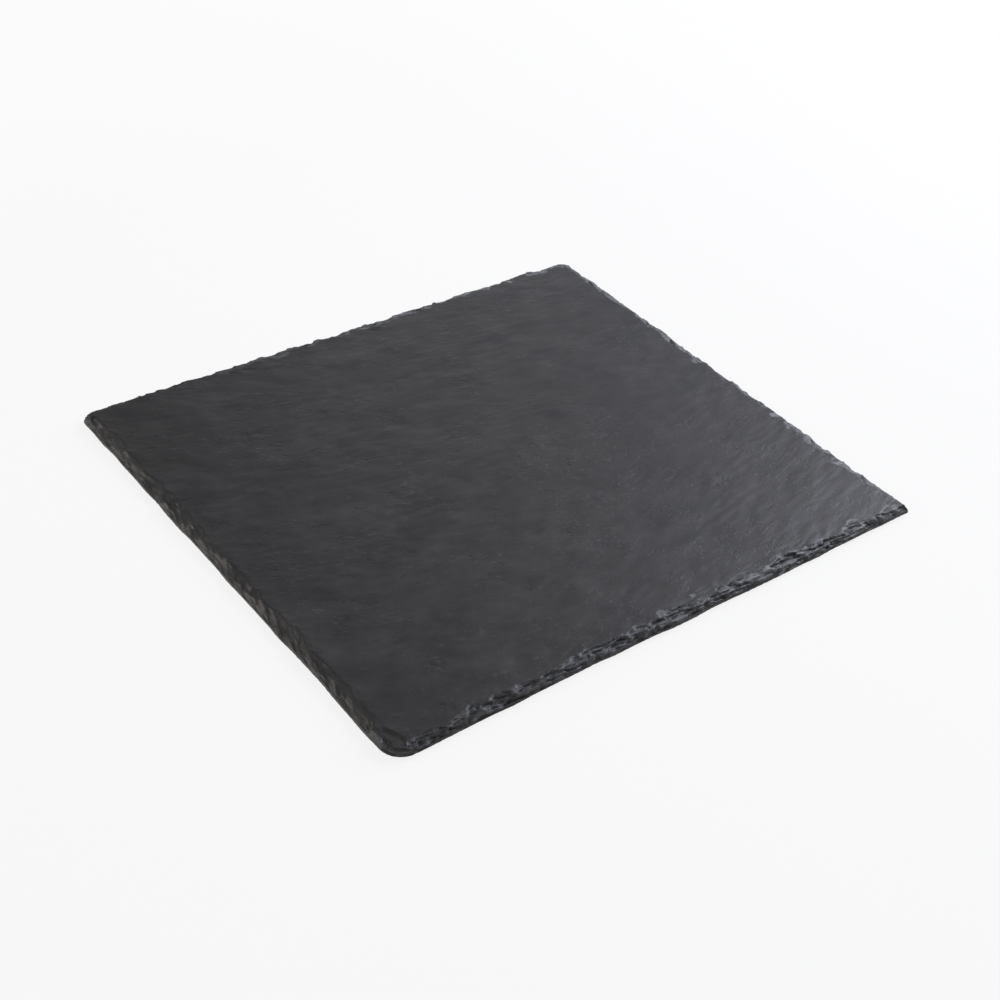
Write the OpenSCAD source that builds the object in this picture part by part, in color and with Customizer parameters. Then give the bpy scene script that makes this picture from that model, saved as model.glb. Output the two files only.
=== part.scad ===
// Slate serving board: one split slab of slate with hand-dressed edges, on four stick-on rubber feet.
// X runs along the long front edge, Y towards the back and Z up.
// The origin is the middle of the footprint, level with the soles of the feet.

/* [Slab] */
// Length of the slab along its front edge
slab_l = 354; // [250:1:530]
// Depth of the slab from front to back
slab_d = 325; // [200:1:400]
// Thickness of the slab between its two split faces
slab_t = 5.5; // [4.5:0.1:9]

/* [Outline] */
// Radius of the front left corner
front_left_r = 12; // [3:0.5:20]
// Radius of the front right corner
front_right_r = 2; // [2:0.5:20]
// Radius of the back right corner
back_right_r = 8; // [2:0.5:20]
// Radius of the back left corner
back_left_r = 7; // [2:0.5:20]
// How much further out the front edge stands at its right end than at its left
front_lean = -1.8; // [-4:0.1:4]
// How much further out the right edge stands at its back end than at its front
right_lean = 2.4; // [-4:0.1:4]
// How much further out the back edge stands at its left end than at its right
back_lean = 4.2; // [-5:0.1:5]
// How much further out the left edge stands at its front end than at its back
left_lean = -1.2; // [-4:0.1:4]
// Length of the slow waves in the cut outline
slow_wave_l = 64; // [40:1:120]
// How far the slow waves stand in or out
slow_wave_h = 0.5; // [0:0.05:1]
// Length of the quick waves in the cut outline
quick_wave_l = 13; // [8:0.5:30]
// How far the quick waves stand in or out
quick_wave_h = 0.45; // [0:0.05:0.8]

/* [Dressed edge] */
// Spacing of the facets along the edge
facet_l = 3.8; // [3:0.1:8]
// Width of the rim that the flakes may bite into
rim_w = 12; // [10:0.5:16]
// Height of the plain wall below the dressed bevel
wall_h = 2.4; // [1.8:0.1:4]
// Width of the dressed bevel where no flake has come off
bevel_w = 3.2; // [1.5:0.1:5]
// Least thickness that the deepest flake leaves at the very edge
edge_t = 1.2; // [0.8:0.1:2]

/* [Broad flakes] */
// Spacing of the broad thin flakes along the edge
broad_pitch = 21; // [16:0.5:40]
// Length of the longest broad flake
broad_l = 32; // [20:0.5:40]
// How far in the widest broad flake reaches
broad_w = 9.5; // [6:0.5:10]
// Depth of the deepest broad flake
broad_h = 1.5; // [0.5:0.1:2.5]

/* [Stepped flakes] */
// Spacing of the middling flakes along the edge
step_pitch = 9; // [7:0.5:20]
// Length of the longest middling flake
step_l = 16; // [8:0.5:24]
// How far in the widest middling flake reaches
step_w = 7.2; // [4:0.1:9]
// Depth of the deepest middling flake
step_h = 2.8; // [1:0.1:3.5]

/* [Nicks] */
// Spacing of the small deep nicks along the edge
nick_pitch = 6; // [5:0.5:15]
// Length of the longest nick
nick_l = 9; // [5:0.5:12]
// How far in the widest nick reaches
nick_w = 3.6; // [2:0.1:5]
// Depth of the deepest nick
nick_h = 3.9; // [1:0.1:4.5]

/* [Corner flakes] */
// Length of the wide flake off the front left corner
left_corner_l = 27; // [16:0.5:36]
// How far in it reaches
left_corner_w = 9; // [5:0.1:10]
// Its depth
left_corner_h = 1.7; // [0.8:0.1:2.5]
// Length of the wide flake off the front right corner
right_corner_l = 40; // [20:0.5:48]
// How far in it reaches
right_corner_w = 7.5; // [5:0.1:10]
// Its depth
right_corner_h = 1.3; // [0.8:0.1:2.5]

/* [Feet] */
// Diameter of a foot where it is stuck to the stone
foot_d = 10; // [6:0.5:16]
// Diameter of a foot just above its rounded sole
foot_tip_d = 9.2; // [5.5:0.1:15]
// Height of the rubber of a foot
foot_h = 1.8; // [1.2:0.1:5]
// Radius of the rounding round the sole
sole_r = 0.8; // [0.3:0.1:1]
// Distance from a side of the slab to the middle of a foot
foot_inset = 28; // [20:1:60]
// Diameter of an adhesive disc
adhesive_d = 9.4; // [5:0.1:14]
// Thickness of an adhesive disc
adhesive_t = 0.2; // [0.1:0.05:0.6]

/* [Hidden] */

// How far the rough block stands past both split faces before it is split
overrun = 1;
// Height of the slab's lower split face
under_z = foot_h + adhesive_t;
// Height of the serving face
top_z = under_z + slab_t;
// Facets round a foot
round_n = 96;
// Facets in the rounding of a sole
sole_n = 6;

// The four corners in order round the slab from the front left, with the side each one stands on
corner_r = [front_left_r, front_right_r, back_right_r, back_left_r];
corner_side = [[-1, -1], [1, -1], [1, 1], [-1, 1]];
// The clear run of the side that follows each corner
side_run = [for (k = [0:3]) (k % 2 == 0 ? slab_l : slab_d) - corner_r[k] - corner_r[(k + 1) % 4]];
// Share of its radius that a corner keeps at the inside of the rim
inner_corner_share = 0.3;

// Stations round the outline: the corner, the way the edge faces, and the share of the run behind it
arc_n = [for (r = corner_r) max(2, round(r * PI / 2 / facet_l))];
run_n = [for (run = side_run) round(run / facet_l)];
stations = [
    for (k = [0:3])
        for (i = [0 : arc_n[k] + run_n[k] - 1])
            let (turned = min(i / arc_n[k], 1), along = max(i - arc_n[k], 0) / run_n[k])
                [k, 180 + 90 * (k + turned), along]
];
n = len(stations);
edge_l = n * facet_l;

// Rings of points across the rim, as shares of its width
ring_shares = [0, 0.1, 0.21, 0.34, 0.5, 0.7, 1];

// Turns and gain of the scatter, chosen so that its shares never repeat over the edge
count_turn = 12.9898;
seed_turn = 78.233;
scatter_gain = 43758.5453;

// A share from 0 to 1 that looks random but is the same each time
function scatter(i, seed) =
    let (v = sin(i * count_turn + seed * seed_turn) * scatter_gain)
        v - floor(v);

// A smooth wave from -1 to 1 round the outline, with one random level for each of its cells
function wave(i, cells, seed) =
    let (c = i / n * cells, k = floor(c), t = c - k, s = t * t * (3 - 2 * t))
        2 * ((1 - s) * scatter(k % cells, seed) + s * scatter((k + 1) % cells, seed)) - 1;

function facing(st) = [cos(st[1]), sin(st[1])];

// Middle of a corner's arc on the outline set in by q
function arc_centre(k, r, q) =
    [corner_side[k][0] * (slab_l / 2 - q - r), corner_side[k][1] * (slab_d / 2 - q - r)];

function shrunk_r(k, q) = corner_r[k] * (1 - (1 - inner_corner_share) * q / rim_w);

// Point of a station on the true rectangle with round corners, set in by q
function plain_point(st, q) =
    let (
        k = st[0],
        next = (k + 1) % 4,
        from = arc_centre(k, shrunk_r(k, q), q) + shrunk_r(k, q) * facing(st),
        to = arc_centre(next, shrunk_r(next, q), q) + shrunk_r(next, q) * facing(st)
    )
        (1 - st[2]) * from + st[2] * to;

// Moves a point as the sides lean out of square
function leant(p) =
    let (u = p[0] / slab_l, v = p[1] / slab_d)
        [
            p[0] + v * (right_lean * (0.5 + u) + left_lean * (0.5 - u)),
            p[1] - u * (front_lean * (0.5 - v) + back_lean * (0.5 + v))
        ];

// How far the cut stands out from its straight line at a station
slow_n = round(edge_l / slow_wave_l);
quick_n = round(edge_l / quick_wave_l);
cut_out = [for (i = [0 : n - 1]) slow_wave_h * wave(i, slow_n, 1) + quick_wave_h * wave(i, quick_n, 2)];

function hewn_point(i, q) = leant(plain_point(stations[i], q)) + cut_out[i] * facing(stations[i]);

// The hewn outline is measured, so that the finished slab is as long and as deep as it should be
outline = [for (i = [0 : n - 1]) hewn_point(i, 0)];
low = [min([for (p = outline) p[0]]), min([for (p = outline) p[1]])];
high = [max([for (p = outline) p[0]]), max([for (p = outline) p[1]])];

function fitted(p) =
    [
        (p[0] - (low[0] + high[0]) / 2) * slab_l / (high[0] - low[0]),
        (p[1] - (low[1] + high[1]) / 2) * slab_d / (high[1] - low[1])
    ];

// The two flakes off the front corners: station, half length, reach and depth of each
corner_flakes = [
    [round(arc_n[0] / 2), left_corner_l / 2, left_corner_w, left_corner_h],
    [arc_n[0] + run_n[0], right_corner_l / 2, right_corner_w, right_corner_h]
];

// Only shallow flakes come off the floor that a corner flake has left
shallow_share = 0.3;
function stations_apart(a, b) = min(abs(a - b), n - abs(a - b));
function depth_share(at) =
    min([for (f = corner_flakes) stations_apart(at, f[0]) * facet_l < f[1] ? shallow_share : 1]);

// Flakes of one kind, evenly scattered along the edge: station, half length, reach and depth of each
least_share = 0.45;
function sized(most, i, seed) = most * (least_share + (1 - least_share) * scatter(i, seed));
function flakes(pitch, long, wide, deep, seed) =
    let (count = round(edge_l / pitch))
        [
            for (j = [0 : count - 1])
                let (at = floor((j + scatter(j, seed)) * n / count) % n)
                    [
                        at,
                        sized(long, j, seed + 1) / 2,
                        sized(wide, j, seed + 2),
                        sized(deep, j, seed + 3) * depth_share(at)
                    ]
        ];
flake_kinds = [
    flakes(broad_pitch, broad_l, broad_w, broad_h, 10),
    flakes(step_pitch, step_l, step_w, step_h, 20),
    flakes(nick_pitch, nick_l, nick_w, nick_h, 30)
];
// Flakes on each side of a station that can reach it
near_n = 3;

// Height of one flake's scar at a point: an oval scoop with its middle on the outline
function scar_z(flake, p) =
    let (
        st = stations[flake[0]],
        d = p - plain_point(st, 0),
        out = facing(st),
        along = (d[0] * out[1] - d[1] * out[0]) / flake[1],
        inward = (d[0] * out[0] + d[1] * out[1]) / flake[2],
        inside = 1 - along * along - inward * inward
    )
        top_z - flake[3] * sign(inside) * sqrt(abs(inside));

// Height of the rough block at a station, q in from the outline
function block_z(i, q) =
    let (
        p = plain_point(stations[i], q),
        bevel_z = under_z + wall_h + q * (slab_t - wall_h) / bevel_w,
        corner_scars = [for (f = corner_flakes) scar_z(f, p)],
        scars = [
            for (kind = flake_kinds)
                let (count = len(kind), here = floor(i * count / n))
                    for (j = [here - near_n : here + near_n])
                        scar_z(kind[(j + count) % count], p)
        ]
    )
        max(min(bevel_z, min(corner_scars), min(scars), top_z + overrun), under_z + edge_t);

// The dressed block, with its chipped rim but still unsplit above and below
module hewn_block() {
    rings = concat([0], ring_shares);
    ring_points = [
        for (r = [0 : len(rings) - 1])
            for (i = [0 : n - 1])
                let (q = rings[r] * rim_w, p = fitted(hewn_point(i, q)))
                    [p[0], p[1], r == 0 ? under_z - overrun : block_z(i, q)]
    ];
    centres = [[0, 0, under_z - overrun], [0, 0, top_z + overrun]];
    function at(r, i) = len(centres) + r * n + i % n;
    last = len(rings) - 1;
    faces = [
        for (i = [0 : n - 1])
            each concat(
                [[0, at(0, i), at(0, i + 1)], [1, at(last, i + 1), at(last, i)]],
                [for (r = [0 : last - 1]) [at(r, i), at(r + 1, i), at(r + 1, i + 1)]],
                [for (r = [0 : last - 1]) [at(r, i), at(r + 1, i + 1), at(r, i + 1)]]
            )
    ];
    polyhedron(concat(centres, ring_points), faces);
}

module slate_slab() {
    color("#47474a")
        intersection() {
            hewn_block();
            translate([-slab_l, -slab_d, under_z]) cube([2 * slab_l, 2 * slab_d, slab_t]);
        }
}

// Puts a foot's pieces under the corner on the given side
module under_corner(side) {
    translate([side[0] * (slab_l / 2 - foot_inset), side[1] * (slab_d / 2 - foot_inset), 0]) children();
}

module foot(side) {
    sole = [
        for (i = [0 : sole_n])
            let (a = 90 * i / sole_n)
                [foot_tip_d / 2 - sole_r + sole_r * sin(a), sole_r - sole_r * cos(a)]
    ];
    color("#2b2b2d")
        under_corner(side)
            rotate_extrude($fn = round_n)
                polygon(concat([[0, 0]], sole, [[foot_d / 2, foot_h], [0, foot_h]]));
}

module adhesive(side) {
    color("#d9d5c8")
        under_corner(side)
            translate([0, 0, foot_h]) cylinder(h = adhesive_t, d = adhesive_d, $fn = round_n);
}

slate_slab();
foot(corner_side[0]);  // foot_front_left
foot(corner_side[1]);  // foot_front_right
foot(corner_side[3]);  // foot_back_left
foot(corner_side[2]);  // foot_back_right
adhesive(corner_side[0]);  // adhesive_front_left
adhesive(corner_side[1]);  // adhesive_front_right
adhesive(corner_side[3]);  // adhesive_back_left
adhesive(corner_side[2]);  // adhesive_back_right
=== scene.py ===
"""Slate serving board on four stick-on feet, in a plain studio.

Sizes of the stone are in millimetres, in the board's own frame, and turn to metres when a mesh is made. The
outline and the flakes follow the rules of the solid slab, and the finer breaks of the stone are added here.
"""

import math
from collections import namedtuple

import bpy
import numpy as np
from mathutils import Matrix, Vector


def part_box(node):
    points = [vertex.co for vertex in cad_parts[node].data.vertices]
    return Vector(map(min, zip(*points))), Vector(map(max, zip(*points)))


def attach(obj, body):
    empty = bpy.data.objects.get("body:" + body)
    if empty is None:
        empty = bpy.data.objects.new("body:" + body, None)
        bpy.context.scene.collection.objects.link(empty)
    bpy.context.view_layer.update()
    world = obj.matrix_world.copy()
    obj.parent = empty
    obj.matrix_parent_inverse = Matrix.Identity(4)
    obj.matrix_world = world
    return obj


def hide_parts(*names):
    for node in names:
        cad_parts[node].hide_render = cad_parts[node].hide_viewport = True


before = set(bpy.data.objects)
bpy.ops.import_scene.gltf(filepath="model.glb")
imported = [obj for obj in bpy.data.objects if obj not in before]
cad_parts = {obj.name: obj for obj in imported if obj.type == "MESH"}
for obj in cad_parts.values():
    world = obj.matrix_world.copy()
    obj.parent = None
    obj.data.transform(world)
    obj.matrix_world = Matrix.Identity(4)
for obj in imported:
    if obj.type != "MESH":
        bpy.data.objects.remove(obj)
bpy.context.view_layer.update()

MM = 0.001

# The slab's size and its place, from its solid
slab_box = np.array([list(corner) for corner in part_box("slate_slab")]) / MM
SLAB_L, SLAB_D, SLAB_T = slab_box[1] - slab_box[0]
UNDER_Z, TOP_Z = slab_box[:, 2]
FACE_SIZE = np.array([SLAB_L, SLAB_D])

# The cut outline: corner radii from the front left round to the back left, each side's lean, and its waves
CORNER_R = np.array([12.0, 2.0, 8.0, 7.0])
CORNER_SIDE = np.array([[-1, -1], [1, -1], [1, 1], [-1, 1]])
FRONT_LEAN, RIGHT_LEAN, BACK_LEAN, LEFT_LEAN = -1.8, 2.4, 4.2, -1.2
SLOW_WAVE_L, SLOW_WAVE_H = 64.0, 0.5
QUICK_WAVE_L, QUICK_WAVE_H = 13.0, 0.45

# The dressed edge: spacing of its facets, width of its rim, height of its wall, width of its bevel, and the
# share of a corner's radius that is left at the rim's inner line
FACET_L = 3.8
RIM_W = 12.0
WALL_H = 2.4
BEVEL_W = 3.2
INNER_CORNER_SHARE = 0.3

# Flakes of each kind: spacing along the edge, greatest length, reach and depth, a seed, and how far the
# layers of the stone draw them out along the edge. The solid's third kind, its small chips, is here the work
# of the layers, and the third kind here is thin sheets that lifted off farther in
FLAKE_KINDS = (
    (21.0, 32.0, 9.5, 1.5, 10, 1.3),
    (9.0, 16.0, 7.2, 2.8, 20, 1.7),
    (13.0, 20.0, 11.5, 0.9, 30, 1.0),
)
LEAST_SHARE = 0.45

# The wide thin flakes off the front left and front right corners: length, reach and depth. Only shallow
# flakes come off the floors that they leave
CORNER_FLAKES = ((26.0, 10.5, 1.5), (44.0, 10.5, 1.3))
SHALLOW_SHARE = 0.3

# How far past its ends a flake's scar is worked out, as a share of its half length, and its floor's curve
SCAR_SPAN_SHARE = 1.6
SCAR_CURVE = 0.6

# Fineness of the stone's mesh: parts to a facet along the edge, rows over the rim and how they draw together
# at the edge, rows up the wall, and how many rows of the rim make one of the underside. Then the spacing over
# the faces, the width of the seam between rim and face, and the angle in degrees from which an edge is sharp
FACET_PARTS = 5
RIM_ROWS, ROW_GRADE = 27, 1.2
WALL_ROWS = 7
UNDER_ROW_STEP = 7
TOP_GRID = (2.6, 1.3)
UNDER_GRID = (6.0, 6.0)
SEAM_W = 1.5
SHARP_ANGLE = 32

# Slope of the grain across the board: in the middle, and its turn with each mm to the right and to the back
GRAIN_SLOPE, GRAIN_TURN_X, GRAIN_TURN_Y = -0.1, 0.0011, -0.0011

# Relief of the split faces: a seed for each, length and width of each form, and its height. Plates rise in a
# number of low steps, with risers over a share of each, and the drift moves the small ones across the grain
# by some mm. Wisps lie where their noise is within a share of its middle
TOP_SEED, UNDER_SEED = 60, 80
DRIFT = (34, 27)
RIPPLED_PATCH = (41, 30)
BROAD_SWELL, BROAD_SWELL_H = (95, 70), 0.12
SWELL, SWELL_H = (26, 15), 0.17
BROAD_PLATE, BROAD_PLATE_STEPS = (105, 58), 1.3
PLATE_FRINGE, PLATE_FRINGE_STEPS = (19, 8), 0.35
SMALL_PLATE, SMALL_PLATE_STEPS = (22, 9), 2.0
PLATE_H = 0.05
BROAD_PLATE_RISER, SMALL_PLATE_RISER = 0.2, 0.22
SMALL_PLATE_DRIFT = 4
RIPPLE, RIPPLE_H = (11, 3.8), 0.155
CHOP, CHOP_H = (5.2, 2.3), 0.045
WISP, WISP_H, WISP_SHARE = (12, 5), 0.03, 0.3

# The share of ripples that quiet stretches keep, and the levels of noise where a rippled patch fades in
QUIET_SHARE, RIPPLED_FROM = 0.3, (-0.3, 0.35)

# Cleavage layers of the stone: where each starts above the underside, and how wide the risers between are
LAYERS = np.array([0.7, 1.2, 1.9, 2.3, 3.1, 3.6, 4.5, 5.05])
RISER_W = 0.4

# How much wider the risers are in patches of the edge and in the corner flake, as shares of their width, the
# levels of noise where such a patch fades in, and the least rise that a riser takes
PATCH_SOFTNESS, PATCH_FROM = 1.5, (-0.05, 0.5)
CORNER_SOFTNESS = 3
LEAST_RISER_H = 0.05

# Share of the wall's height and the bevel's width that the dressing leaves on average, and how that wavers
WALL_SHARE, WALL_WAVER = 0.65, 0.65
BEVEL_SHARE, BEVEL_WAVER = 1.1, 0.7

# The wall and the bevel under the front left flake, which came off cleanly, and the share of breaks there
CORNER_WALL_H = 3.3
CORNER_BEVEL_W = 1.2
CORNER_BREAK_SHARE = 0.25

# Where a corner flake ends for wall and bevel, for breaks and for the finish, as shares of its half length
CORNER_WALL_END, CORNER_BREAK_END, CORNER_FINISH_END = (0.7, 1.2), (0.5, 1.1), (1.0, 1.15)

# The left side broke in smoother scars than the others: how much wider its risers are, how soon that sets in,
# how much shallower its scars are and wider its bevel, and how strongly the bevel rounds over
LEFT_SOFTNESS = 5.0
SOFT_END_L = 25.0
LEFT_SHALLOWNESS = 0.15
LEFT_WIDENING = 1.1
LEFT_ROUNDING = 1.4

# The breaks lean outward as the edge runs on, by this much for each mm along it, and the left side's by more
BREAK_LEAN = 0.2
LEFT_BREAK_LEAN = 0.14

# Kinds of break in the edge: how long one is along it, how far it reaches in, how far it moves the stone, the
# share by which it does so less on the left side, or more if it is below 0, and a seed
Break = namedtuple("Break", "length reach move left_calm seed")

# How the wall's height and the bevel's width waver, in short breaks and in long ones
SHORT_WAVER = Break(19.0, 1.0, 0.7, 1.0, 43)
LONG_WAVER = Break(36.0, 9.0, 0.5, -0.6, 63)

# How the layers buckle, and the patches where their risers are soft
BUCKLE = Break(18.0, 5.0, 0.16, 0, 45)
SOFT_PATCH = Break(24.0, 9.0, 1.0, 0, 42)

# The line that a layer snaps along: its bends, which all layers share, its own strays and jags, and how far
# the scars slip along the edge in it. The bevel takes the strays at a share
BEND = Break(26.0, 5.0, 1.3, 0.6, 46)
STRAY = Break(23.0, 2.6, 1.7, 0.65, 100)
JAG = Break(5.0, 1.4, 0.45, 0.7, 120)
SLIP = Break(18.0, 8.0, 2.0, 0, 140)
BEVEL_STRAY_SHARE = 0.9

# Splinters all over the rim
SPLINTER = Break(4.6, 1.6, 0.05, 0.8, 47)
FINE_SPLINTER = Break(1.6, 0.8, 0.015, 0.8, 48)

# The broken wall: bites as high as its layers, crumbles whose reach is their height, and how the layers waver
# up and down. A layer's bite begins below the layer, and is shifted from the next one's. The wall stands back
# in full from a height on, and its foot is worn up to a share of its height
BITE = Break(7.0, 0, 1.1, 0.5, 50)
CRUMBLE = Break(2.4, 0.6, 0.25, 0.8, 51)
LAYER_WAVER = Break(9.0, 0, 0.25, 0, 49)
BITE_DROP, BITE_SHIFT = 0.3, 5.37
SHEER_WALL_H = 1.3
WORN_FOOT = Break(2.3, 0, 0.35, 0, 52)
WORN_FOOT_SHARE = 0.3

# Finish of the broken stone, for its material. How broken the corner flake looks, and how much less the left
# side looks broken and crumbly, gets painted shade in its hollows and is pale at its lips, from bruising and
# painted highlight, all as shares. The left side's look turns from broken to split between two insets
CORNER_BROKEN_SHARE = 0.15
LEFT_WORN_SHARE, LEFT_WORN_FROM = 0.8, (0.4, 2.8)
LEFT_WHOLE_SHARE = 0.75
LEFT_HOLLOW_SHADE_CALM = 0.95
LEFT_LIP_CALM = 0.6

# How far below the split face the stone counts as broken, how deep a hollow gets its painted shade and how
# high a lip is paled by bruising and painted highlight, how many points to each side these two are measured
# over, and where the corner flake's lips start
BROKEN_FROM = (0.02, 0.12)
HOLLOW_SHADE_FROM, HOLLOW_SHADE_REACH = (0.05, 0.3), 6
LIP_FROM, LIP_REACH = (0.1, 0.55), 3
CORNER_LIP_FROM = (3.0, 6.0)

# How pale the left side's scars are, and the insets and depths where they start
LEFT_SCAR_PALENESS = 0.2
LEFT_SCAR_FROM, LEFT_SCAR_DEPTH = (2.0, 4.5), (0.05, 0.3)


# Repeatable scatter and smooth noise

# Turns and gain of the scatter, as the solid slab has them
COUNT_TURN, SEED_TURN, SCATTER_GAIN = 12.9898, 78.233, 43758.5453

# Cells after which the noise repeats, and the gain that brings it to a span of about -1 to 1
NOISE_CELLS = 256
NOISE_GAIN = 1.5


def scatter(count, seed):
    """A share from 0 to 1 that looks random but is the same each time."""
    value = np.sin(np.radians(count * COUNT_TURN + seed * SEED_TURN)) * SCATTER_GAIN
    return value - np.floor(value)


def noise(x, y, seed):
    """Gradient noise from about -1 to 1, at places counted in cells."""
    table = np.random.RandomState(seed)
    order = np.tile(table.permutation(NOISE_CELLS), 2)
    angle = table.rand(NOISE_CELLS) * 2 * math.pi
    cell_x, cell_y = np.floor(x).astype(int), np.floor(y).astype(int)
    u, v = x - cell_x, y - cell_y

    def pull(step_x, step_y):
        pick = order[(cell_x + step_x) % NOISE_CELLS + order[(cell_y + step_y) % NOISE_CELLS]]
        return np.cos(angle[pick]) * (u - step_x) + np.sin(angle[pick]) * (v - step_y)

    s, t = (w * w * w * (w * (6 * w - 15) + 10) for w in (u, v))
    low = pull(0, 0) * (1 - s) + pull(1, 0) * s
    high = pull(0, 1) * (1 - s) + pull(1, 1) * s
    return NOISE_GAIN * (low * (1 - t) + high * t)


def smooth(value, start, end):
    """0 below start, 1 above end, and an even S between them."""
    t = np.clip((value - start) / (end - start), 0, 1)
    return t * t * (3 - 2 * t)


def ledges(value, riser):
    """Turns an even slope into level treads one unit apart, with risers over the given share of each."""
    tread = np.floor(value)
    return tread + smooth(value - tread, 0.5 - riser / 2, 0.5 + riser / 2)


# The outline, by stations that run round it from the front left corner

SIDE_RUN = FACE_SIZE[[0, 1, 0, 1]] - CORNER_R - np.roll(CORNER_R, -1)
ARC_N = np.maximum(2, np.round(CORNER_R * math.pi / 2 / FACET_L))
RUN_N = np.round(SIDE_RUN / FACET_L)
SIDE_START = np.concatenate([[0], np.cumsum(ARC_N + RUN_N)])
STATIONS = int(SIDE_START[4])
EDGE_L = STATIONS * FACET_L
LEFT_START = SIDE_START[3] * FACET_L


def turning(station):
    """The corner before each station, the way the edge faces there, and the share of the run behind it."""
    corner = np.searchsorted(SIDE_START, station, side="right") - 1
    local = station - SIDE_START[corner]
    turned = np.minimum(local / ARC_N[corner], 1)
    along = np.maximum(local - ARC_N[corner], 0) / RUN_N[corner]
    angle = np.radians(180 + 90 * (corner + turned))
    return corner, np.stack([np.cos(angle), np.sin(angle)], -1), along[..., None]


def plain_point(station, inset):
    """Points on the true rectangle with round corners, set in from its sides."""
    corner, facing, along = turning(station)
    inset = np.asarray(inset)[..., None]

    def arc_point(k):
        radius = CORNER_R[k][..., None] * (1 - (1 - INNER_CORNER_SHARE) * inset / RIM_W)
        return CORNER_SIDE[k] * (FACE_SIZE / 2 - inset - radius) + radius * facing

    return (1 - along) * arc_point(corner) + along * arc_point((corner + 1) % 4)


def wave(station, cells, seed):
    """A smooth wave from -1 to 1 round the outline, with one scattered level for each of its cells."""
    place = station / STATIONS * cells
    cell = np.floor(place)
    s = smooth(place - cell, 0, 1)
    return 2 * ((1 - s) * scatter(cell % cells, seed) + s * scatter((cell + 1) % cells, seed)) - 1


def cut_out(station):
    """How far the hewn outline stands out from its straight line."""
    slow = SLOW_WAVE_H * wave(station, round(EDGE_L / SLOW_WAVE_L), 1)
    return slow + QUICK_WAVE_H * wave(station, round(EDGE_L / QUICK_WAVE_L), 2)


def leant(points):
    """Moves points as the sides lean out of square."""
    u, v = np.moveaxis(points / FACE_SIZE, -1, 0)
    lean_x = v * (RIGHT_LEAN * (0.5 + u) + LEFT_LEAN * (0.5 - u))
    lean_y = -u * (FRONT_LEAN * (0.5 - v) + BACK_LEAN * (0.5 + v))
    return points + np.stack([lean_x, lean_y], -1)


solid_stations = np.arange(STATIONS)
solid_cut = cut_out(solid_stations)[:, None] * turning(solid_stations)[1]
solid_outline = leant(plain_point(solid_stations, 0)) + solid_cut
OUTLINE_LOW, OUTLINE_HIGH = solid_outline.min(0), solid_outline.max(0)


def fitted(points):
    """Centres the hewn outline on the slab and brings it to its length and depth."""
    return (points - (OUTLINE_LOW + OUTLINE_HIGH) / 2) * FACE_SIZE / (OUTLINE_HIGH - OUTLINE_LOW)


# The stations of the mesh's own points round the edge, their distance along it, the way it faces there and
# its cut, and the insets of the rim's rows
POINT_STATION = np.arange(STATIONS * FACET_PARTS) / FACET_PARTS
POINT_RUN = POINT_STATION * FACET_L
POINT_FACING = turning(POINT_STATION)[1]
POINT_CUT = cut_out(POINT_STATION)
ROW_INSET = RIM_W * (np.arange(RIM_ROWS + 1) / RIM_ROWS) ** ROW_GRADE


def plain_ring(inset):
    """The mesh's points round the true rectangle, set in from its sides."""
    return plain_point(POINT_STATION, np.full(len(POINT_STATION), inset))


def hewn_ring(inset, setback):
    """The mesh's points round the hewn outline, set in from it, with its edge moved back by the setback."""
    moved = (POINT_CUT - setback) * (1 - inset / RIM_W)
    return fitted(leant(plain_ring(inset)) + moved[:, None] * POINT_FACING)


# The split faces


def across_grain(x, y):
    """Distance across the curved grain of the stone."""
    return y * (1 - GRAIN_TURN_Y * x) - GRAIN_SLOPE * x - GRAIN_TURN_X / 2 * x * x


def cleft(x, y, seed):
    """Relief of a split face in mm: broad swells, thin plates that end in steps, ripples and wisps."""
    across = across_grain(x, y)
    drift = noise(x / DRIFT[0], y / DRIFT[1], seed + 1)

    def form(size, number, slip=0.0, slide=0.0):
        """Noise in cells of a length and width, which the drift shifts along the grain and across it."""
        return noise(x / size[0] + slip * drift, across / size[1] + slide * drift, seed + number)

    broad_swell = BROAD_SWELL_H * noise(x / BROAD_SWELL[0], y / BROAD_SWELL[1], seed)
    swell = broad_swell + SWELL_H * form(SWELL, 9, slide=1)
    broad_plates = BROAD_PLATE_STEPS * form(BROAD_PLATE, 2) + PLATE_FRINGE_STEPS * form(PLATE_FRINGE, 3)
    small_plates = SMALL_PLATE_STEPS * form(SMALL_PLATE, 7, slide=SMALL_PLATE_DRIFT / SMALL_PLATE[1])
    plates = PLATE_H * (ledges(broad_plates, BROAD_PLATE_RISER) + ledges(small_plates, SMALL_PLATE_RISER))
    patch = smooth(noise(x / RIPPLED_PATCH[0], y / RIPPLED_PATCH[1], seed + 4), *RIPPLED_FROM)
    patch = QUIET_SHARE + (1 - QUIET_SHARE) * patch
    ripples = RIPPLE_H * form(RIPPLE, 5, 0.5, 1) + CHOP_H * form(CHOP, 6, 0.5, 1)
    wisps = WISP_H * np.clip(1 - np.abs(form(WISP, 8, slide=1)) / WISP_SHARE, 0, 1)
    return swell + plates + patch * (ripples + wisps)


# Greatest rise of the relief on the serving face and the underside, so that no swell stands out of the slab
PROBE_STEP = 1.2
probe = np.meshgrid(*(np.arange(-size / 2, size / 2, PROBE_STEP) for size in FACE_SIZE))
CLEFT_RISE = {seed: cleft(*probe, seed).max() for seed in (TOP_SEED, UNDER_SEED)}


def split_depth(points, seed):
    """How far a split face lies below its highest swell, at points on it."""
    return CLEFT_RISE[seed] - cleft(points[..., 0], points[..., 1], seed)


# The breaks in the edge


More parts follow.
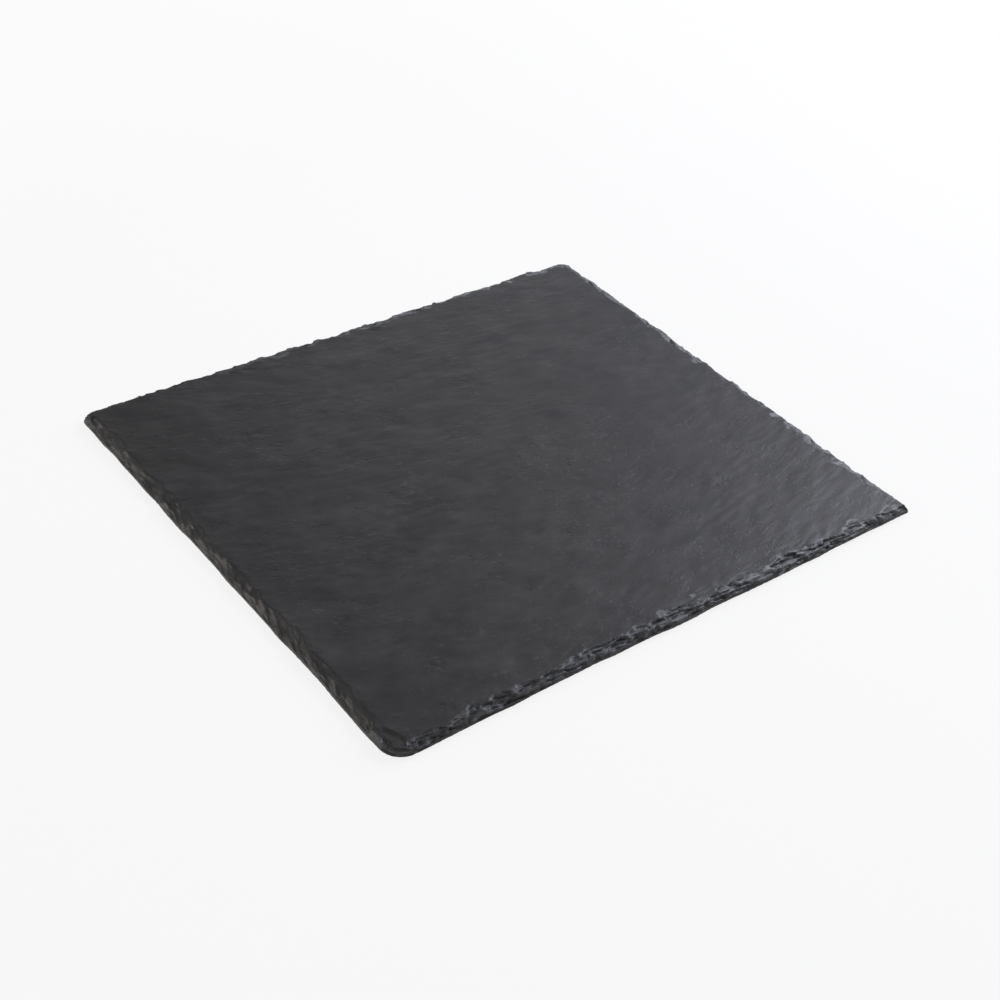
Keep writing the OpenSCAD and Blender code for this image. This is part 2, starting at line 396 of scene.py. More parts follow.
def flakes():
    """Station, half length, reach and depth of each flake, with the two off the front corners first."""
    corners = (1, int(SIDE_START[1]))
    found = [(at, size[0] / 2, *size[1:]) for at, size in zip(corners, CORNER_FLAKES)]
    for pitch, length, width, depth, seed, drawn in FLAKE_KINDS:
        count = round(EDGE_L / pitch)
        for j in range(count):
            at = math.floor((j + scatter(j, seed)) * STATIONS / count) % STATIONS
            size = LEAST_SHARE + (1 - LEAST_SHARE) * scatter(j, seed + np.array([1, 2, 3]))
            for corner, half, _, _ in found[: len(CORNER_FLAKES)]:
                apart = abs(at - corner)
                if min(apart, STATIONS - apart) * FACET_L < half:
                    size[2] = SHALLOW_SHARE * size[2]
            found.append((at, *(size * (drawn * length / 2, width, depth))))
    return found


FLAKES = flakes()


def scar_height(points):
    """Height of the flakes' scars at points that are laid out by the rim's rows and the mesh's stations."""
    height = np.full(points.shape[:2], TOP_Z + SLAB_T)
    for at, half, reach, deep in FLAKES:
        span = FACET_PARTS * (math.ceil(SCAR_SPAN_SHARE * max(half, reach) / FACET_L) + 1)
        near = (at * FACET_PARTS + np.arange(-span, span + 1)) % points.shape[1]
        out = turning(np.array(at))[1]
        d = points[:, near] - plain_point(np.array(at), 0)
        along = (d[..., 0] * out[1] - d[..., 1] * out[0]) / half
        inward = (d @ out) / reach
        inside = 1 - along**2 - inward**2
        scar = TOP_Z - deep * np.sign(inside) * np.abs(inside) ** SCAR_CURVE
        height[:, near] = np.minimum(height[:, near], scar)
    return height


def sampled(field, station, inset):
    """The value of a field over the rim, between its rows and round its stations."""
    row = RIM_ROWS * (np.clip(inset, 0, RIM_W) / RIM_W) ** (1 / ROW_GRADE)
    place = station * FACET_PARTS
    low, left = np.minimum(row.astype(int), RIM_ROWS - 1), np.floor(place).astype(int)
    v, u = row - low, place - left
    left, right = left % field.shape[1], (left + 1) % field.shape[1]
    lower = field[low, left] * (1 - u) + field[low, right] * u
    upper = field[low + 1, left] * (1 - u) + field[low + 1, right] * u
    return lower * (1 - v) + upper * v


def steepness(field):
    """Slope of a field over the rim, in mm to the mm."""
    along = (np.roll(field, -1, 1) - np.roll(field, 1, 1)) * FACET_PARTS / (2 * FACET_L)
    return np.hypot(along, np.gradient(field, ROW_INSET, axis=0))


def edge_noise(run, inset, length, width, seed):
    """Noise over the rim in long slanting cells, which are half as long on the left side.

    It has no seam where the edge closes on itself.
    """

    def cells(run):
        left = np.maximum(run - LEFT_START, 0)
        return noise((run + left) / length, (inset + BREAK_LEAN * run + LEFT_BREAK_LEAN * left) / width, seed)

    share = smooth(run, EDGE_L - 2 * length, EDGE_L)
    return (1 - share) * cells(run) + share * cells(run - EDGE_L)


def beyond(run, flake, start, end):
    """0 beside the middle of a flake and 1 past its ends, between two shares of its half length."""
    at, half = flake[:2]
    apart = np.abs(run - at * FACET_L)
    return smooth(np.minimum(apart, EDGE_L - apart), start * half, end * half)


def left_share(run):
    """1 along the left side, fading out at its corners."""
    return smooth(run, LEFT_START, LEFT_START + SOFT_END_L) * (1 - smooth(run, EDGE_L - SOFT_END_L, EDGE_L))


def dressed_height(points):
    """Height of the broken stone over the rim, where each layer has snapped off along a line of its own."""
    run, depth = np.broadcast_arrays(POINT_RUN, ROW_INSET[:, None])
    hewn = beyond(run, FLAKES[0], *CORNER_WALL_END)
    soft = left_share(run)

    def broken(kind, number=0, inset=depth):
        """How far the breaks of a kind move the stone. Each number gives other breaks of that kind."""
        place = edge_noise(run, inset, kind.length, kind.reach, kind.seed + number)
        return kind.move * (1 - kind.left_calm * soft) * place

    def uneven(number):
        """Unevenness of the edge, from about -1 to 1: in short and long breaks, and only long on the left."""
        return broken(SHORT_WAVER, number, 0 * depth) + broken(LONG_WAVER, number, 0 * depth)

    # The wall and the bevel as they were dressed, before the layers broke back
    foot = WALL_H * (WALL_SHARE + WALL_WAVER * uneven(1))
    foot = CORNER_WALL_H + hewn * (foot - CORNER_WALL_H)
    spread = BEVEL_W * (BEVEL_SHARE + BEVEL_WAVER * uneven(0))
    spread = CORNER_BEVEL_W + hewn * (spread * (1 + LEFT_WIDENING * soft) - CORNER_BEVEL_W)
    climb = depth / spread
    rounded = np.where(climb < 1, 1 - np.clip(1 - climb, 0, 1) ** LEFT_ROUNDING, climb)
    bevel = UNDER_Z + foot + (SLAB_T - foot) * (climb + soft * (rounded - climb))
    scars = scar_height(points)
    scars += LEFT_SHALLOWNESS * soft * (TOP_Z - scars)

    # What all layers share
    calm = np.ones(scars.shape)
    for flake in FLAKES[: len(CORNER_FLAKES)]:
        calm *= CORNER_BREAK_SHARE + (1 - CORNER_BREAK_SHARE) * beyond(run, flake, *CORNER_BREAK_END)
    patchy = PATCH_SOFTNESS * smooth(broken(SOFT_PATCH), *PATCH_FROM)
    riser = RISER_W * (1 + patchy + LEFT_SOFTNESS * soft + CORNER_SOFTNESS * (1 - hewn))
    buckle, bend = broken(BUCKLE), broken(BEND)

    # Each layer stands only where all layers below it do
    height = np.full(scars.shape, UNDER_Z + LAYERS[0])
    standing = np.ones(scars.shape)
    for k, (low, high) in enumerate(zip(LAYERS, np.append(LAYERS[1:], SLAB_T))):
        stray = calm * (bend + broken(STRAY, k) + broken(JAG, k))
        slipped = POINT_STATION + broken(SLIP, k) / FACET_L
        own = np.minimum(sampled(scars, slipped, depth + stray), bevel + BEVEL_STRAY_SHARE * stray)
        level = UNDER_Z + (low + high) / 2 + buckle
        standing *= np.clip(0.5 + (own - level) / (riser * steepness(own) + LEAST_RISER_H), 0, 1)
        height += (high - low) * standing
    return height + calm * (broken(SPLINTER) + broken(FINE_SPLINTER))


def wall_bite(height):
    """How far the broken wall stands back round the edge, layer by layer, at a height."""
    above = height - UNDER_Z
    left = left_share(POINT_RUN)

    def bitten(kind, place):
        """How far the bites of a kind go in, at a place up the wall that is counted in cells."""
        share = 0.5 + 0.5 * noise(POINT_RUN / kind.length, place, kind.seed)
        return kind.move * (1 - kind.left_calm * left) * share

    waver = LAYER_WAVER.move * noise(POINT_RUN / LAYER_WAVER.length, 0 * POINT_RUN, LAYER_WAVER.seed)
    layer = np.searchsorted(LAYERS, above + BITE_DROP + waver)
    bites = bitten(BITE, layer * BITE_SHIFT) + bitten(CRUMBLE, above / CRUMBLE.reach)
    return smooth(above, 0, SHEER_WALL_H) * bites


# The slab


def zip_rings(outer, outer_turn, inner, inner_turn):
    """Triangles that close the strip between two rings of points, both counted round from the same corner."""
    outer, inner = np.append(outer, outer[0]), np.append(inner, inner[0])
    outer_turn = np.append(outer_turn, outer_turn[0] + 2 * math.pi)
    inner_turn = np.append(inner_turn, inner_turn[0] + 2 * math.pi)
    triangles, i, j = [], 0, 0
    while i < len(outer) - 1 or j < len(inner) - 1:
        if j == len(inner) - 1 or (i < len(outer) - 1 and outer_turn[i + 1] <= inner_turn[j + 1]):
            triangles.append((outer[i], outer[i + 1], inner[j]))
            i += 1
        else:
            triangles.append((outer[i], inner[j + 1], inner[j]))
            j += 1
    return triangles


def face_grid(spacing, inset):
    """Points of a grid that fills a split face up to the inset, its quads, and the ring of outer points."""
    half = FACE_SIZE / 2 - inset
    steps = [int(round(2 * h / s)) for h, s in zip(half, spacing)]
    x, y = np.meshgrid(*(np.linspace(-h, h, n + 1) for h, n in zip(half, steps)))
    index = np.arange(x.size).reshape(x.shape)
    quads = np.stack([index[:-1, :-1], index[:-1, 1:], index[1:, 1:], index[1:, :-1]], -1).reshape(-1, 4)
    ring = np.concatenate([index[0, :-1], index[:-1, -1], index[-1, :0:-1], index[:0:-1, 0]])
    return np.stack([x.ravel(), y.ravel()], -1), quads, ring


def turn_of(points):
    """Angle of points round the middle of the face, growing all the way round."""
    return np.unwrap(np.arctan2(points[:, 1] / SLAB_D, points[:, 0] / SLAB_L))


def sunk_depth(height, reach, rows=2):
    """How far the stone lies below the mean of the ground round it, over a reach in points and in rows."""
    near = [np.roll(height, step, 1) for step in range(-reach, reach + 1)]
    near = np.pad(np.mean(near, 0), ((rows, rows), (0, 0)), "edge")
    around = np.mean([near[step : step + len(height)] for step in range(2 * rows + 1)], 0)
    return around - height


def underside_rows(setback):
    """Rows of the underside below the rim, from the inmost one out."""
    rows = []
    for inset in ROW_INSET[::-UNDER_ROW_STEP][:-1]:
        under = hewn_ring(inset, setback)
        rows.append(np.c_[under, UNDER_Z + split_depth(under, UNDER_SEED)])
    return rows


def wall_rows(top):
    """Rows of the broken wall, from its worn foot up to just under its top."""
    uneven = 0.5 + 0.5 * noise(POINT_RUN / WORN_FOOT.length, 0 * POINT_RUN, WORN_FOOT.seed)
    rows = []
    for step in np.arange(WALL_ROWS) / WALL_ROWS:
        height = UNDER_Z + step * (top - UNDER_Z)
        worn = WORN_FOOT.move * (1 - smooth(step, 0, WORN_FOOT_SHARE)) * uneven
        rows.append(np.c_[hewn_ring(0.0, wall_bite(height) + worn), height])
    return rows


def stone_shares(rim_z, sunk, first_wall, first_rim):
    """How broken and crumbly the stone is, how dark its hollows are painted as shade, and how pale its lips
    are from bruising and painted highlight, as shares that its material reads.

    The rows of points go from the underside over the wall to the rim. The rim's height is given, and how far
    it is sunk below the split face.
    """
    inset, left = ROW_INSET[:, None], left_share(POINT_RUN)
    rough = beyond(POINT_RUN, FLAKES[0], *CORNER_FINISH_END)
    dressed = CORNER_BROKEN_SHARE + (1 - CORNER_BROKEN_SHARE) * rough
    worn = 1 - LEFT_WORN_SHARE * left * smooth(inset, *LEFT_WORN_FROM)
    # Painted shade: the deeper a hollow lies below the ground around it, the darker it is painted
    hollow_shades = smooth(sunk_depth(rim_z, HOLLOW_SHADE_REACH), *HOLLOW_SHADE_FROM)
    # Lips that stand above the ground around them are paled, partly as bruised stone and partly as painted
    # highlight
    lips = (1 - LEFT_LIP_CALM * left) * (rough + (1 - rough) * smooth(inset, *CORNER_LIP_FROM))
    lips = lips * smooth(-sunk_depth(rim_z, LIP_REACH), *LIP_FROM)
    left_scars = LEFT_SCAR_PALENESS * left * smooth(inset, *LEFT_SCAR_FROM) * smooth(sunk, *LEFT_SCAR_DEPTH)

    size = (first_rim + len(rim_z), len(POINT_RUN))
    shares = {name: np.zeros(size) for name in ("dressed", "crumbly", "hollow_shade", "bruise_and_highlight")}
    shares["dressed"][first_wall:first_rim] = dressed
    shares["dressed"][first_rim:] = dressed * worn * smooth(sunk, *BROKEN_FROM)
    shares["crumbly"][:] = rough * (1 - LEFT_WHOLE_SHARE * left)
    shares["hollow_shade"][first_rim:] = (1 - LEFT_HOLLOW_SHADE_CALM * left) * hollow_shades
    shares["bruise_and_highlight"][first_rim:] = np.maximum(lips, left_scars)
    return shares


def make_slab():
    """The slab as one closed mesh: rows of points round its edge, and a grid that fills each split face."""
    plain = np.stack([plain_ring(inset) for inset in ROW_INSET])
    broken = dressed_height(plain)
    setback = wall_bite(broken[0])
    rim = np.stack([hewn_ring(inset, setback) for inset in ROW_INSET])
    face = TOP_Z - split_depth(rim, TOP_SEED)
    rim_z = np.minimum(face, broken)

    under, wall = underside_rows(setback), wall_rows(rim_z[0])
    shares = stone_shares(rim_z, face - rim_z, len(under), len(under) + len(wall))
    rows = np.concatenate([under + wall, np.concatenate([rim, rim_z[..., None]], -1)])
    points = [rows.reshape(-1, 3)]
    index = np.arange(rows.shape[0] * rows.shape[1]).reshape(rows.shape[:2])
    ahead = np.roll(index, -1, axis=1)
    faces = np.stack([index[:-1], ahead[:-1], ahead[1:], index[1:]], -1).reshape(-1, 4).tolist()
    for spacing, seed, row, up in ((TOP_GRID, TOP_SEED, -1, 1), (UNDER_GRID, UNDER_SEED, 0, -1)):
        grid, quads, ring = face_grid(spacing, RIM_W + SEAM_W)
        start = sum(len(p) for p in points)
        flat = fitted(leant(grid))
        points.append(np.c_[flat, (TOP_Z if up > 0 else UNDER_Z) - up * split_depth(flat, seed)])
        seam = zip_rings(index[row], turn_of(plain[-1]), ring + start, turn_of(grid[ring]))
        flat_faces = (quads + start).tolist() + seam
        faces += flat_faces if up > 0 else [list(corners)[::-1] for corners in flat_faces]

    mesh = bpy.data.meshes.new("slate_slab_stone")
    points = np.concatenate(points)
    mesh.from_pydata(points * MM, [], faces)
    for name, share in shares.items():
        values = np.pad(share.ravel(), (0, len(points) - share.size))
        mesh.attributes.new(name, "FLOAT", "POINT").data.foreach_set("value", values)
    grain = np.stack([points[:, 0], across_grain(points[:, 0], points[:, 1]), points[:, 2]], -1)
    mesh.attributes.new("grain", "FLOAT_VECTOR", "POINT").data.foreach_set("vector", (grain * MM).ravel())
    mesh.shade_smooth()
    mesh.set_sharp_from_angle(angle=math.radians(SHARP_ANGLE))
    slab = bpy.data.objects.new("slate_stone", mesh)
    bpy.context.scene.collection.objects.link(slab)
    return slab


# Materials


def linear(hex_colour):
    """An sRGB hex colour as the linear colour that a shader takes."""
    channels = [int(hex_colour[i : i + 2], 16) / 255 for i in (1, 3, 5)]
    return [c / 12.92 if c <= 0.04045 else ((c + 0.055) / 1.055) ** 2.4 for c in channels] + [1.0]


def pattern_scale(*sizes):
    """Scale of a pattern whose cells have the given real sizes in mm: one number, or one for each axis."""
    scales = [1 / (size * MM) for size in sizes]
    return scales if len(scales) > 1 else scales[0]


def add(tree, kind, inputs=(), **settings):
    """Adds a node with its settings. Each input is a value, or another node's output to link."""
    made = tree.nodes.new("ShaderNode" + kind)
    for name, value in settings.items():
        setattr(made, name, value)
    for socket, value in dict(inputs).items():
        if isinstance(value, bpy.types.NodeSocket):
            tree.links.new(value, made.inputs[socket])
        else:
            made.inputs[socket].default_value = value
    return made


def new_material(name):
    """An empty material and its node tree."""
    material = bpy.data.materials.new(name)
    material.use_nodes = True
    material.node_tree.nodes.clear()
    return material, material.node_tree


def split_face(tree, place):
    """The split face's colour, and how far its marks and sheets stand up or down there."""
    # Soft blotches and clouds tint the split faces a little
    grain = add(tree, "Attribute", attribute_name="grain").outputs["Vector"]
    lay = add(tree, "Mapping", {"Vector": grain, "Scale": pattern_scale(20, 13, 13)}).outputs[0]
    blotchy = {"Vector": lay, "Scale": 1.0, "Detail": 2.5, "Roughness": 0.5}
    blotches = add(tree, "TexNoise", blotchy).outputs["Fac"]
    blotch_share = add(tree, "MapRange", {"Value": blotches, "From Min": 0.32, "From Max": 0.68}).outputs[0]
    blotched = {0: blotch_share, 6: linear("#212020"), 7: linear("#393736")}
    colour = add(tree, "Mix", blotched, data_type="RGBA").outputs[2]
    cloudy = {"Vector": place, "Scale": pattern_scale(60), "Detail": 3.0}
    clouds = add(tree, "TexNoise", cloudy).outputs["Fac"]
    cloud_share = add(tree, "MapRange", {"Value": clouds, "From Min": 0.35, "From Max": 0.75}).outputs[0]
    colour = add(tree, "Mix", {0: cloud_share, 6: colour, 7: linear("#2b2928")}, data_type="RGBA").outputs[2]

    # Thin sheets end in crisp low steps
    lay = add(tree, "Mapping", {"Vector": grain, "Scale": pattern_scale(9, 5, 5)}).outputs[0]
    flaky = {"Vector": lay, "Scale": 1.0, "Detail": 3.0, "Roughness": 0.55}
    sheet = add(tree, "TexNoise", flaky).outputs["Fac"]
    step = {"Value": sheet, "From Min": 0.47, "From Max": 0.6}
    sheets = add(tree, "MapRange", step, interpolation_type="SMOOTHSTEP").outputs[0]

    # Stray flecks, painted pale as glints, and pits, painted dark as the shade in them, lie in patches
    # between quiet stretches
    lay = add(tree, "Mapping", {"Vector": grain, "Scale": pattern_scale(4.5, 2.2, 2)}).outputs[0]
    specked = {"Vector": lay, "Scale": 1.0, "Detail": 2.0, "Roughness": 0.5}
    fleck = add(tree, "TexNoise", specked).outputs["Fac"]
    raised = {"Value": fleck, "From Min": 0.58, "From Max": 0.72}
    glint_flecks = add(tree, "MapRange", raised, interpolation_type="SMOOTHSTEP").outputs[0]
    sunk_in = {"Value": fleck, "From Min": 0.4, "From Max": 0.28, "To Max": -1.2}
    shaded_pits = add(tree, "MapRange", sunk_in, interpolation_type="SMOOTHSTEP").outputs[0]
    patchy = {"Vector": place, "Scale": pattern_scale(24), "Detail": 2.0}
    patches = add(tree, "TexNoise", patchy).outputs["Fac"]
    crowded = {"Value": patches, "From Min": 0.4, "From Max": 0.62, "To Min": 0.25, "To Max": 1.2}
    crowding = add(tree, "MapRange", crowded).outputs[0]
    # Painted glint on the flecks and painted shade in the pits
    for marks, strength, tint in ((shaded_pits, -0.45, "#161515"), (glint_flecks, 0.35, "#4b4948")):
        share = add(tree, "Math", {0: marks, 1: crowding}, operation="MULTIPLY").outputs[0]
        share = add(tree, "Math", {0: share, 1: strength}, operation="MULTIPLY").outputs[0]
        colour = add(tree, "Mix", {0: share, 6: colour, 7: linear(tint)}, data_type="RGBA").outputs[2]
    marks = add(tree, "Math", {0: glint_flecks, 1: shaded_pits}, operation="ADD").outputs[0]
    relief = add(tree, "Math", {0: sheets, 1: 0.5, 2: marks}, operation="MULTIPLY_ADD").outputs[0]
    return colour, add(tree, "Math", {0: relief, 1: crowding}, operation="MULTIPLY").outputs[0]


def broken_edge(tree, place, crumbly):
    """The broken edge's colour with painted light and shade, how pale its lips are, and the tilt of its
    chips.
    """
    # Each chip has a tone and a tilt of its own, and its outline is torn
    lay = add(tree, "Mapping", {"Vector": place, "Scale": pattern_scale(17, 12, 1.8)}).outputs[0]
    torn = add(tree, "TexNoise", {"Vector": lay, "Scale": 1.0, "Detail": 4.0, "Roughness": 0.6})
    lay = add(tree, "Mapping", {"Vector": place, "Scale": pattern_scale(4.5, 4.5, 1.2)}).outputs[0]
    warp = {0: torn.outputs["Color"], 1: (1.4, 1.4, 1.4), 2: lay}
    warped = add(tree, "VectorMath", warp, operation="MULTIPLY_ADD").outputs[0]
    chips = add(tree, "TexVoronoi", {"Vector": warped, "Scale": 1.0})
    shade = add(tree, "Mix", {0: crumbly, 2: 0.5, 3: chips.outputs["Color"]}).outputs[0]
    toned = {0: shade, 1: 0.3, 2: torn.outputs["Fac"]}
    fracture = add(tree, "Math", toned, operation="MULTIPLY_ADD").outputs[0]
    chip_share = add(tree, "MapRange", {"Value": fracture, "From Min": 0.45, "From Max": 0.85}).outputs[0]

    # Painted light and shade: level treads are painted pale, the more so towards the right, where the light
    # comes from, and steep risers dark. Deep hollows are painted nearly black as shade
    # The painted light grows towards the right, where the key lamp stands
    to_right = add(tree, "SeparateXYZ", {0: place}).outputs["X"]
    lit_right_range = {"Value": to_right, "From Min": -0.1, "From Max": 0.06, "To Min": 0.1, "To Max": 1.0}
    lit_right = add(tree, "MapRange", lit_right_range).outputs[0]
    pale_share = add(tree, "MapRange", {"Value": fracture, "From Min": 0.42, "From Max": 0.7}).outputs[0]
    pale_share = add(tree, "Math", {0: pale_share, 1: lit_right}, operation="MULTIPLY").outputs[0]
    tread_tones = {0: pale_share, 6: linear("#292929"), 7: linear("#77797b")}
    tread = add(tree, "Mix", tread_tones, data_type="RGBA").outputs[2]
    normal = add(tree, "NewGeometry").outputs["Normal"]
    upright = add(tree, "SeparateXYZ", {0: normal}).outputs["Z"]
    level = add(tree, "MapRange", {"Value": upright, "From Min": 0.72, "From Max": 0.97}).outputs[0]
    riser_tones = {0: chip_share, 6: linear("#2c2c2c"), 7: linear("#4a4949")}
    riser = add(tree, "Mix", riser_tones, data_type="RGBA").outputs[2]
    colour = add(tree, "Mix", {0: level, 6: riser, 7: tread}, data_type="RGBA").outputs[2]
    # Painted shade: deep hollows are painted nearly black
    hollow_shade = add(tree, "Attribute", attribute_name="hollow_shade").outputs["Fac"]
    colour = add(tree, "Mix", {0: hollow_shade, 6: colour, 7: linear("#0a0a0b")}, data_type="RGBA").outputs[2]

    # Pale lips, partly bruised stone and partly painted highlight, are whole where the stone isn't crumbly,
    # and follow its chips where it is, the more so towards the right, where the light comes from
    lip = add(tree, "Attribute", attribute_name="bruise_and_highlight").outputs["Fac"]
    whole = add(tree, "Math", {0: 1.0, 1: crumbly}, operation="SUBTRACT").outputs[0]
    lit_right_chips = add(tree, "Math", {0: chip_share, 1: lit_right}, operation="MULTIPLY").outputs[0]
    bruise_and_highlight_room = add(tree, "Math", {0: whole, 1: lit_right_chips}, operation="MAXIMUM").outputs[0]
    bruise_and_highlight = add(tree, "Math", {0: lip, 1: bruise_and_highlight_room}, operation="MULTIPLY").outputs[0]

    # A chip tilts by its own chance colour
    from_middle = {0: warped, 1: chips.outputs["Position"]}
    inside = add(tree, "VectorMath", from_middle, operation="SUBTRACT").outputs[0]
    chance = {0: chips.outputs["Color"], 1: (0.5, 0.5, 0.5)}
    lean = add(tree, "VectorMath", chance, operation="SUBTRACT").outputs[0]
    tilt = add(tree, "VectorMath", {0: inside, 1: lean}, operation="DOT_PRODUCT").outputs["Value"]
    return colour, bruise_and_highlight, tilt


def split_slate():
    """Natural slate, left as it split: a dark soft sheen on the faces, and paler, duller broken edges."""
    material, tree = new_material("split_slate")
    place = add(tree, "TexCoord").outputs["Object"]
    broken = add(tree, "Attribute", attribute_name="dressed").outputs["Fac"]
    crumbly = add(tree, "Attribute", attribute_name="crumbly").outputs["Fac"]
    face, face_relief = split_face(tree, place)
    edge, bruise_and_highlight, tilt = broken_edge(tree, place, crumbly)
    colour = add(tree, "Mix", {0: broken, 6: face, 7: edge}, data_type="RGBA").outputs[2]
    # Lips are paled, partly as bruised stone and partly as a painted highlight on their crests
    colour = add(tree, "Mix", {0: bruise_and_highlight, 6: colour, 7: linear("#636465")}, data_type="RGBA").outputs[2]

    # The sheets, flecks and pits catch the light, and so do the fine grain and the facets of the broken edge
    crisp = add(tree, "Bump", {"Height": face_relief, "Distance": 0.055 * MM, "Strength": 1.0}).outputs[0]
    grit = {"Vector": place, "Scale": pattern_scale(1.4), "Detail": 3.0, "Roughness": 0.7}
    fine = add(tree, "TexNoise", grit).outputs["Fac"]
    gritty = {"Height": fine, "Distance": 0.05 * MM, "Strength": 0.05, "Normal": crisp}
    grainy = add(tree, "Bump", gritty).outputs[0]
    chipped = add(tree, "Math", {0: broken, 1: crumbly}, operation="MULTIPLY").outputs[0]
    facets = {"Height": tilt, "Distance": 1.3 * MM, "Strength": chipped, "Normal": grainy}
    bump = add(tree, "Bump", facets).outputs[0]
    rough = add(tree, "MapRange", {"Value": broken, "To Min": 0.44, "To Max": 0.52}).outputs[0]
    coat = {"Base Color": colour, "Roughness": rough, "IOR": 1.5, "Normal": bump}
    shader = add(tree, "BsdfPrincipled", coat)
    add(tree, "OutputMaterial", {"Surface": shader.outputs[0]})
    return material


def moulded_rubber():
    """Synthetic rubber, moulded: a dead black that scatters what little light it returns."""
    material, tree = new_material("moulded_rubber")
    place = add(tree, "TexCoord").outputs["Object"]
    grit = add(tree, "TexNoise", {"Vector": place, "Scale": pattern_scale(0.6), "Detail": 2.0}).outputs["Fac"]
    bump = add(tree, "Bump", {"Height": grit, "Distance": 0.02 * MM, "Strength": 0.5}).outputs[0]
    blacks = {0: grit, 6: linear("#232324"), 7: linear("#2d2d2f")}
    colour = add(tree, "Mix", blacks, data_type="RGBA").outputs[2]
    coat = {"Base Color": colour, "Roughness": 0.62, "IOR": 1.52, "Normal": bump}
    shader = add(tree, "BsdfPrincipled", coat)
    add(tree, "OutputMaterial", {"Surface": shader.outputs[0]})
    return material


def acrylic_adhesive():
    """Acrylic foam tape, die cut: a dull warm white line between rubber and stone."""
    material, tree = new_material("acrylic_adhesive")
    place = add(tree, "TexCoord").outputs["Object"]
    foam = add(tree, "TexNoise", {"Vector": place, "Scale": pattern_scale(0.4), "Detail": 2.0}).outputs["Fac"]
    whites = {0: foam, 6: linear("#cfcabb"), 7: linear("#e2decf")}
    colour = add(tree, "Mix", whites, data_type="RGBA").outputs[2]
    shader = add(tree, "BsdfPrincipled", {"Base Color": colour, "Roughness": 0.55, "IOR": 1.47})
    add(tree, "OutputMaterial", {"Surface": shader.outputs[0]})
    return material


# The pieces

slab = make_slab()
slab.data.materials.append(split_slate())
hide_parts("slate_slab")
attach(slab, "root")

finishes = {"foot_": moulded_rubber(), "adhesive_": acrylic_adhesive()}
for name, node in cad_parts.items():
    for start, finish in finishes.items():
        if name.startswith(start):
            node.data.materials.clear()
            node.data.materials.append(finish)


# The studio, in metres, degrees and watts

FLOOR_HALF = 6.0

# How much of the floor is its own white and not paper with the shadow on it, near the board and far away
NEAR_R, NEAR_WHITE = 0.4, 0.85
FAR_R, FAR_WHITE = 1.2, 1.0

# How bright the sky is to the stone
SKY_LEVEL = 0.2

# The softboxes: bearing from +X towards +Y, elevation, side, power and colour
LAMP_DISTANCE = 1.8
SOFTBOXES = {
    "key_softbox": (0, 33, 1.3, 34, "#eceffe"),
    "back_softbox": (48, 20, 1.2, 3.3, "#eef2ff"),
    "warm_fill": (150, 12, 1.2, 15, "#fff7f0"),
}

# The photograph's viewpoint, found from the board's four edges in it: the camera looks down from the front
# left and is a little tilted. The lens and its sensor are in millimetres
CAMERA_ELEVATION, CAMERA_YAW, CAMERA_TILT = 37.662, 39.209, 4.429
CAMERA_OFFSET = (0.00434, -0.01809, 0.98375)
CAMERA_LENS, SENSOR_W = 61.985, 36.0


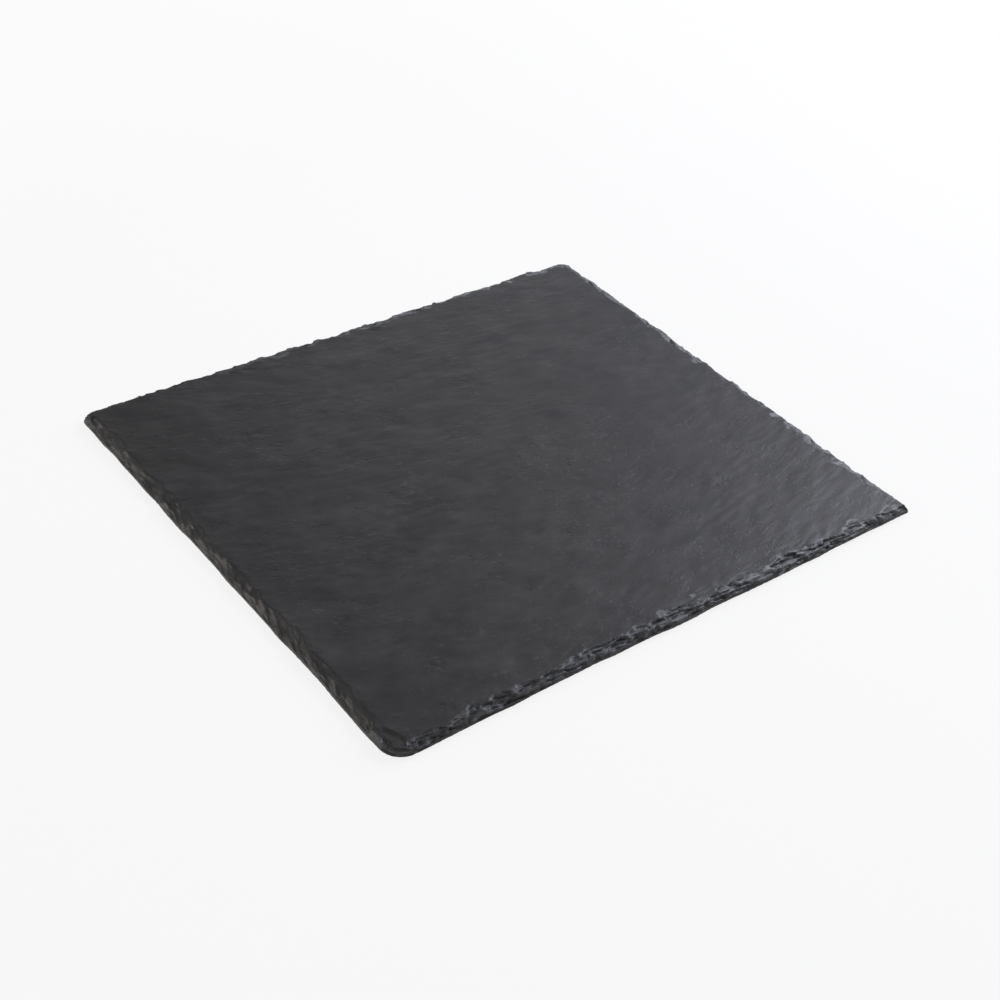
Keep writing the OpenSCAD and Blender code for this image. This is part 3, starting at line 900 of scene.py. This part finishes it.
def make_floor():
    """A floor of pale matt paper, which reads as white to the camera and keeps the board's soft shadow."""
    mesh = bpy.data.meshes.new("floor")
    corners = [(x * FLOOR_HALF, y * FLOOR_HALF, 0) for x, y in ((-1, -1), (1, -1), (1, 1), (-1, 1))]
    mesh.from_pydata(corners, [], [(0, 1, 2, 3)])
    material, tree = new_material("floor_paper")
    rays = add(tree, "LightPath").outputs
    looking = {0: rays["Is Camera Ray"], 1: rays["Is Glossy Ray"]}
    seen = add(tree, "Math", looking, operation="MAXIMUM").outputs[0]
    seen = add(tree, "Math", {0: seen, 1: rays["Is Transmission Ray"]}, operation="MAXIMUM").outputs[0]
    place = add(tree, "TexCoord").outputs["Object"]
    away = add(tree, "VectorMath", {0: place}, operation="LENGTH").outputs["Value"]
    faded = {"Value": away, "From Min": NEAR_R, "From Max": FAR_R, "To Min": NEAR_WHITE, "To Max": FAR_WHITE}
    whiteness = add(tree, "MapRange", faded).outputs[0]
    share = add(tree, "Math", {0: seen, 1: whiteness}, operation="MULTIPLY").outputs[0]
    paper = add(tree, "BsdfDiffuse", {"Color": linear("#f4f4f4")}).outputs[0]
    lift = add(tree, "Emission", {"Color": linear("#ffffff"), "Strength": 1.0}).outputs[0]
    mixed = add(tree, "MixShader", {0: share, 1: paper, 2: lift}).outputs[0]

    # From below the paper isn't there, so that the feet and the underside can be looked at
    behind = add(tree, "NewGeometry").outputs["Backfacing"]
    clear = add(tree, "BsdfTransparent").outputs[0]
    mixed = add(tree, "MixShader", {0: behind, 1: mixed, 2: clear}).outputs[0]
    add(tree, "OutputMaterial", {"Surface": mixed})

    # Its white is only for rays that look at it. Sampled as a lamp too, it would leave bands on the stone
    material.cycles.emission_sampling = "NONE"
    mesh.materials.append(material)
    floor = bpy.data.objects.new("floor", mesh)
    bpy.context.scene.collection.objects.link(floor)


def make_world():
    """A plain sky, white to the camera.

    Slate, rubber and foam are too dull to mirror it, so their sheen takes the same dim sky as their colour.
    """
    world = bpy.data.worlds.new("studio")
    bpy.context.scene.world = world
    world.use_nodes = True
    tree = world.node_tree
    tree.nodes.clear()
    seen = add(tree, "LightPath").outputs["Is Camera Ray"]
    strength = add(tree, "MapRange", {"Value": seen, "To Min": SKY_LEVEL, "To Max": 1.0}).outputs[0]
    sky = add(tree, "Background", {"Color": linear("#ffffff"), "Strength": strength})
    add(tree, "OutputWorld", {"Surface": sky.outputs[0]})


def make_softbox(name, bearing, elevation, size, power, colour):
    """A square lamp that faces the board."""
    light = bpy.data.lights.new(name, "AREA")
    light.shape = "SQUARE"
    light.size = size
    light.energy = power
    light.color = linear(colour)[:3]
    lamp = bpy.data.objects.new(name, light)
    b, e = math.radians(bearing), math.radians(elevation)
    towards = (math.cos(e) * math.cos(b), math.cos(e) * math.sin(b), math.sin(e))
    lamp.location = [LAMP_DISTANCE * c for c in towards]
    lamp.rotation_euler = (-lamp.location).to_track_quat("-Z", "Y").to_euler()
    bpy.context.scene.collection.objects.link(lamp)


def make_camera():
    """The camera, turned to the viewpoint and then moved along its own axes."""
    data = bpy.data.cameras.new("camera")
    data.sensor_width = SENSOR_W
    data.lens = CAMERA_LENS
    camera = bpy.data.objects.new("camera", data)
    bpy.context.scene.collection.objects.link(camera)
    turn = (
        Matrix.Rotation(math.radians(-CAMERA_YAW), 4, "Z")
        @ Matrix.Rotation(math.radians(90 - CAMERA_ELEVATION), 4, "X")
        @ Matrix.Rotation(math.radians(CAMERA_TILT), 4, "Z")
    )
    camera.matrix_world = turn @ Matrix.Translation(CAMERA_OFFSET)
    bpy.context.scene.camera = camera


make_floor()
make_world()
for name, lamp in SOFTBOXES.items():
    make_softbox(name, *lamp)
make_camera()
bpy.context.scene.view_settings.view_transform = "Standard"
